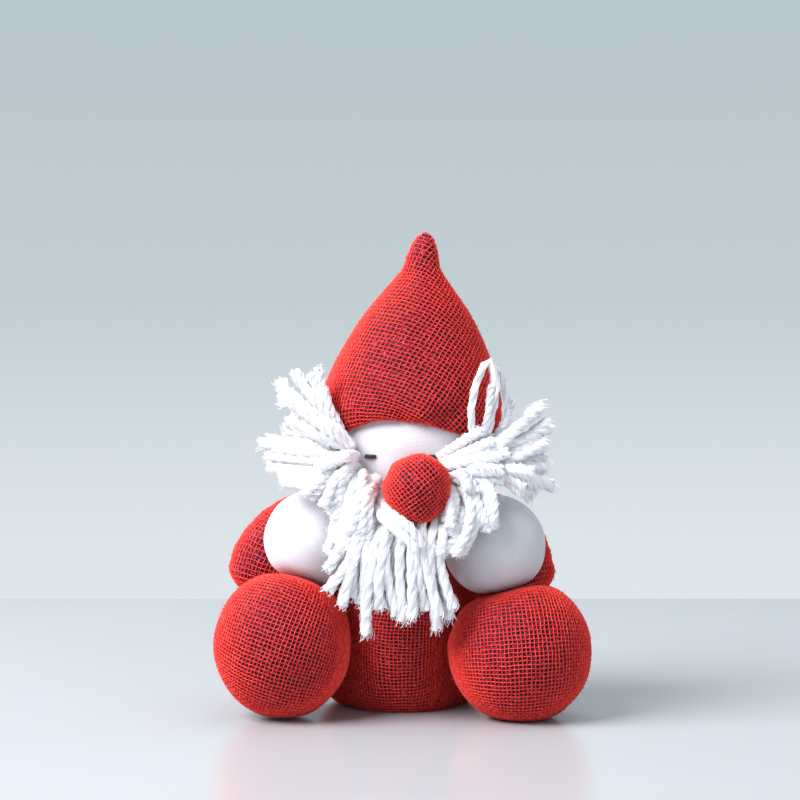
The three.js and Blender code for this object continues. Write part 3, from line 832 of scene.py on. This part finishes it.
section = add(tree, "GeometryNodeCurvePrimitiveCircle", {
    "Resolution": 3, "Radius": given["Fibre radius"],
}).outputs[0]
fibres = add(tree, "GeometryNodeCurveToMesh", {
    "Curve": fibres, "Profile Curve": section, "Fill Caps": True,
}).outputs[0]
both = add(tree, "GeometryNodeJoinGeometry")
tree.links.new(fibres, both.inputs[0])
tree.links.new(cores, both.inputs[0])
spun = add(tree, "GeometryNodeRealizeInstances", {0: both.outputs[0]}).outputs[0]
spun = add(tree, "GeometryNodeSetMaterial", {"Geometry": spun, "Material": given["Yarn"]}).outputs[0]
spun = add(tree, "GeometryNodeSetShadeSmooth", {0: spun}).outputs[0]
tree.links.new(spun, add(tree, "NodeGroupOutput").inputs[0])


def guide_mesh(name, routes, points):
    """One open line of points for each route."""
    mesh = bpy.data.meshes.new(name)
    places, edges = [], []
    for route in routes:
        line = smooth_route(route, points)[0] * MM
        edges += [(len(places) + i, len(places) + i + 1) for i in range(points - 1)]
        places += line.tolist()
    mesh.from_pydata(places, edges, [])
    return mesh


def spin(name, routes, seed, points=21, **changes):
    """Yarn of real thickness along each route."""
    values = {
        "Plies": 3, "Ply offset": 0.56 * MM, "Ply radius": 0.82 * MM, "Turns": 2.7, "Fibres": 27,
        "Fibre radius": 0.09 * MM, "Fray": 0.5, "Wander": 0.8 * MM, "Shortest": 0.9, "Core": 0.92,
        "Seed": seed, "Yarn": soft_yarn,
    }
    return grow(new_object(name, guide_mesh(name, routes, points)), spinning, {**values, **changes})


def locks(routes, copies, spread, seed):
    """Each given route with its neighbours, which stray from it more towards their ends."""
    chance = np.random.default_rng(seed)
    laid = []
    for route in routes:
        route = np.array(route, float)
        share = np.linspace(0.3, 1, len(route))[:, None]
        for copy in range(copies):
            stray = chance.normal(0, spread, (1, 3)) * share * (copy > 0)
            laid.append(route + stray + chance.normal(0, spread * 0.25, route.shape))
    return laid


# the beard fans out from under the nose over the chest; each route starts on the head
BEARD_STRANDS, BEARD_LAYERS = 12, 3
beard_routes = []
chance = np.random.default_rng(7)
for layer in range(BEARD_LAYERS):
    for i in range(BEARD_STRANDS):
        share = (i + 0.5 * (layer % 2)) / (BEARD_STRANDS - 1)
        top_x, middle_x, tip_x = -8 + 17 * share, -16 + 24 * share, -20.5 + 33 * share
        tip_z = 24 + 14 * max(0, 1 - share / 0.3) ** 1.3 + 4 * layer + chance.uniform(-3, 5)
        forward = -32.5 + 2 * layer
        beard_routes.append(np.array([
            (top_x, -18.5, 57), (0.5 * (top_x + middle_x), forward + 4, 54),
            (middle_x, forward, 46),
            (tip_x + chance.normal(0, 1.7), forward + 1.5 + chance.normal(0, 1), tip_z),
        ]) + chance.normal(0, 0.8, (4, 3)))
beard_routes += locks([
    [(-6, -24, 58.5), (-2.5, -33, 55.5), (2.5, -35, 51.5), (5.5, -34.5, 47)],
    [(-7, -24, 57.5), (-4.5, -33, 54), (0.5, -35.5, 50), (4, -35, 46)],
    [(-3.5, -24, 57.5), (-3.5, -33, 55), (-1, -34.5, 52), (0.5, -34.5, 49)],
    [(9, -24, 53), (10.5, -32.5, 51), (9.5, -34, 44.5)],
    [(7, -24, 52), (8, -31, 49), (10.5, -33, 39.5), (13.5, -32.5, 30)],
], 1, 0, 3)
beard = spin("beard_yarn", beard_routes, 1)
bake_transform(beard)
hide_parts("beard")

WHISKERS = {
    "right_whiskers": locks([
        [(-14.6, -15, 70), (-22, -19, 72.5), (-36, -16, 74)],
        [(-14.6, -16, 68), (-23, -21, 69), (-36.5, -16, 70)],
        [(-14.6, -17, 67), (-23, -22, 66), (-35, -17, 66.5)],
        [(-14.6, -17, 66), (-20.5, -24, 63), (-33.5, -19, 64)],
        [(-13.6, -17, 71.5), (-19.5, -20, 75.5), (-31, -16, 77)],
        [(-13.6, -18, 67), (-19.5, -26, 65), (-26, -25, 60)],
        [(-12.6, -18, 66), (-15.5, -27, 64), (-18.8, -28.5, 55)],
        [(-11.6, -19, 65), (-13.5, -29, 61.5), (-16, -30.5, 50.5)],
        [(-8, -20, 64), (-11, -30, 59.5), (-13.5, -31, 49.5)],
        [(-7, -20, 61.5), (-9, -30, 57.5), (-10.5, -32, 47)],
        [(-12.6, -19, 67), (-16.1, -27, 65.5), (-17.5, -29, 57.5)],
        [(-12.6, -19, 69), (-15.5, -25, 69), (-23, -25, 66)],
        [(-10.6, -20, 65), (-10, -27, 64), (-12, -30, 55.5)],
        [(-11, -17, 63), (-15, -26, 57.5), (-17, -30, 46.5)],
    ], 3, 1.5, 11),
    "left_whiskers": locks([
        [(16.5, -19, 68), (26, -22, 73.5), (38, -15, 83.5)],
        [(17.5, -18, 68), (28, -20, 72.5), (40.5, -15, 78.5)],
        [(17.5, -18, 67), (28, -21, 70), (37.5, -16, 75)],
        [(17.5, -19, 66), (26, -24, 67), (32.5, -25, 66.5)],
        [(18.5, -18, 66), (29, -21, 67.5), (39, -18, 67.5)],
        [(18.5, -17, 65), (29, -20, 65), (40, -17, 61)],
        [(18.5, -17, 64), (28, -20, 63.5), (36, -18, 59)],
        [(18.5, -18, 64), (26, -22, 64.5), (32.5, -21, 59.5)],
        [(16.5, -20, 63), (21, -27, 61.5), (22, -29.5, 56), (21.5, -29.5, 50)],
        [(15.5, -21, 61.5), (19, -29, 57.5), (18, -31, 50), (15, -31.5, 44.5)],
        [(14.5, -22, 59.5), (16.5, -29.5, 55.5), (13.5, -32, 49), (10, -32.5, 46.5)],
        [(14.5, -21, 63), (17.5, -27.5, 61.5), (19.5, -29.5, 54)],
        [(14.5, -20, 66), (18.5, -26, 67.5), (24, -26, 66.5)],
        [(10.5, -21.5, 68.3), (15, -24, 70.5), (24, -24, 74)],
        [(10.5, -22, 66.5), (16, -25.5, 68), (26, -24.5, 70.5)],
        [(11, -22, 64.5), (17, -26, 65.5), (27, -25, 66)],
        [(12, -22, 62), (14, -28.5, 59.5), (13.5, -31, 52.5)],
        [(11, -23, 60), (12.4, -29.5, 56), (11.5, -31.5, 49.5)],
        [(14.5, -21, 64), (16.5, -27, 64.5), (19.5, -29, 60.5)],
    ], 3, 1.4, 12),
    "right_upper_whiskers": locks([
        [(-14.2, -16, 71.5), (-22.7, -17, 78.5), (-33.7, -13, 89)],
        [(-14.2, -16, 72.5), (-21.7, -17, 82), (-29.2, -13, 92.5)],
        [(-13.2, -16, 71.5), (-22.7, -19, 77.5), (-29.2, -18, 85), (-32.7, -16, 83)],
        [(-15.7, -15, 73.5), (-20.7, -16, 83), (-24.7, -13, 92)],
        [(-13.2, -17, 70), (-20.7, -20, 75.5), (-29.2, -17, 81)],
        [(-14.2, -17, 71), (-21.5, -21, 74.5), (-31, -18, 79.5)],
        [(-13.2, -18, 72), (-19.5, -21.5, 77.5), (-28, -18.5, 84.5)],
    ], 2, 1.1, 13),
    "left_upper_whiskers": locks([
        [(19.5, -18, 71.5), (18, -23.5, 81), (20, -23.5, 90.5),
         (22.5, -22, 95), (24.5, -22, 88.5), (22, -20, 73.5)],
        [(22, -17, 71.5), (24, -21, 83), (24.5, -20, 93), (27, -19, 87), (27.5, -18, 76.5)],
        [(20.5, -18, 71.5), (22.5, -22.5, 81), (23.5, -22, 89.5)],
        [(23, -17, 71.5), (27, -19, 78.5), (29.5, -17, 85)],
    ], 1, 0.6, 14),
}
# the tuft with the most strands has fewer fibres in each; the lock over the hat is of thinner yarn
YARN_CHANGES = {
    "left_whiskers": {"Fibres": 22},
    "left_upper_whiskers": {"Ply offset": 0.5 * MM, "Ply radius": 0.56 * MM, "Fray": 0.4},
}
for seed, (name, routes) in enumerate(WHISKERS.items()):
    tuft = spin(f"{name}_yarn", routes, 40 + seed, **YARN_CHANGES.get(name, {}))
    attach(tuft, "head")
    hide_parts(name)

# --- seams ----------------------------------------------------------------------------------
# The body's side and the hat's back are closed with a rolled seam: the two raw edges lie together
# and red cotton is whipped over them.

SEAMS = {
    "body_seam": ("torso", rings["body"][7:36, 0], 0.3),
    "hat_seam": ("head", hat_rings["hat"][8:60, 0], 0.42),
}
for seed, (name, (body, line, thickness)) in enumerate(SEAMS.items()):
    seam = spin(name, [line], 70 + seed, points=110, **{
        "Plies": 2, "Ply offset": thickness * 0.6 * MM, "Ply radius": thickness * MM, "Turns": 16.0,
        "Fray": 0.0, "Wander": 0.3 * MM, "Shortest": 0.98, "Core": 0.95, "Fibres": 14, "Yarn": red_cotton,
    })
    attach(seam, body)

# --- eyes -----------------------------------------------------------------------------------
# Each eye is one short bar of black stranded cotton, laid in satin stitch across the face.

# black floss: stranded cotton with the low shine of satin stitch
black_floss, tree = new_material("stranded black cotton, mercerised")
black = mottled(tree, 2500, 2, [(0.3, "#101014"), (0.7, "#2a2a30")])
coat(tree, {"Base Color": black, "Roughness": 0.35, "Sheen Weight": 0.2})

FACE_RADIUS = 23.8  # of the middle of the stitches, from the head's centre
for name in ("right_eye", "left_eye"):
    low, high = (np.array(corner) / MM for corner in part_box(name))
    middle = (low + high) / 2
    head = BALLS["head"]["centre"]
    out = unit(middle - head)
    sideways = unit(np.cross((0, 0, 1), out))
    across_face = [
        head + unit(middle - head + sideways * step) * (FACE_RADIUS - 0.5 * abs(step) / 1.6)
        for step in (-1.7, -0.9, 0, 0.9, 1.7)
    ]
    eye = spin(f"{name}_stitches", [across_face], 60, **{
        "Plies": 1, "Ply offset": 0.0, "Ply radius": 0.52 * MM, "Turns": 0.15, "Fibres": 16,
        "Fibre radius": 0.13 * MM, "Fray": 0.0, "Wander": 0.12 * MM, "Shortest": 0.86, "Yarn": black_floss,
    })
    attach(eye, "head")
    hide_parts(name)

# --- gathering threads ----------------------------------------------------------------------
# A doubled sewing thread is wound round each gather and round the neck, and pulled tight.

# red thread for the red cloth, white thread for the hands: smooth, with little fluff
red_thread, tree = new_material("red polyester sewing thread, spun")
colour = mottled(tree, 2500, 2, [(0.3, "#94211f"), (0.7, "#c2332d")])
coat(tree, {"Base Color": colour, "Roughness": 0.6})

white_thread, tree = new_material("white polyester sewing thread, spun")
colour = mottled(tree, 2500, 2, [(0.3, "#dcdce0"), (0.7, "#f4f4f6")])
coat(tree, {"Base Color": colour, "Roughness": 0.6})

WINDINGS, WINDING_STEPS = 3, 24
THREADS = {
    "neck_thread": ("torso", None, 7), "nose_thread": ("head", "nose", 3),
    "right_wrist_thread": ("right_arm", "right_hand", 3.6), "left_wrist_thread": ("left_arm", "left_hand", 3.6),
    "right_ankle_thread": ("right_leg", "right_foot", 3.6), "left_ankle_thread": ("left_leg", "left_foot", 3.6),
}
for seed, (name, (body, tied_ball, radius)) in enumerate(THREADS.items()):
    low, high = (np.array(corner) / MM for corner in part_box(name))
    middle = (low + high) / 2
    axis = unit(middle - BALLS[tied_ball]["centre"]) if tied_ball else np.array((0, 0, 1.0))
    side_way = unit(np.cross(axis, (0.1, 0.3, 0.9) if tied_ball else (1, 0, 0)))
    other_way = np.cross(axis, side_way)
    coil = [
        middle + radius * (cos(a) * side_way + sin(a) * other_way) + axis * 0.16 * (a / (2 * pi) - WINDINGS / 2)
        for a in np.linspace(0, 2 * pi * WINDINGS, WINDINGS * WINDING_STEPS)
    ]
    mesh = bpy.data.meshes.new(name)
    mesh.from_pydata((np.array(coil) * MM).tolist(), [(i, i + 1) for i in range(len(coil) - 1)], [])
    thread = grow(new_object(f"{name}_wound", mesh), spinning, {
        "Plies": 1, "Ply offset": 0.0, "Ply radius": 0.09 * MM, "Turns": 40, "Fibres": 3,
        "Fibre radius": 0.08 * MM, "Fray": 0.0, "Wander": 0.0, "Shortest": 1.0, "Core": 0.5, "Seed": seed,
        "Yarn": white_thread if "wrist" in name else red_thread,
    })
    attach(thread, body)
    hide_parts(name)

# --- pellet bag -----------------------------------------------------------------------------
# A small calico bag of pellets lies in the bottom of the body and weights the seat.

calico, tree = new_material("unbleached calico, plain weave")
colour = mottled(tree, 700, 3, [(0.3, "#bfb49c"), (0.7, "#d8cfba")])
coat(tree, {"Base Color": colour, "Roughness": 0.9})
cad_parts["weight_bag"].data.materials.clear()
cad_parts["weight_bag"].data.materials.append(calico)
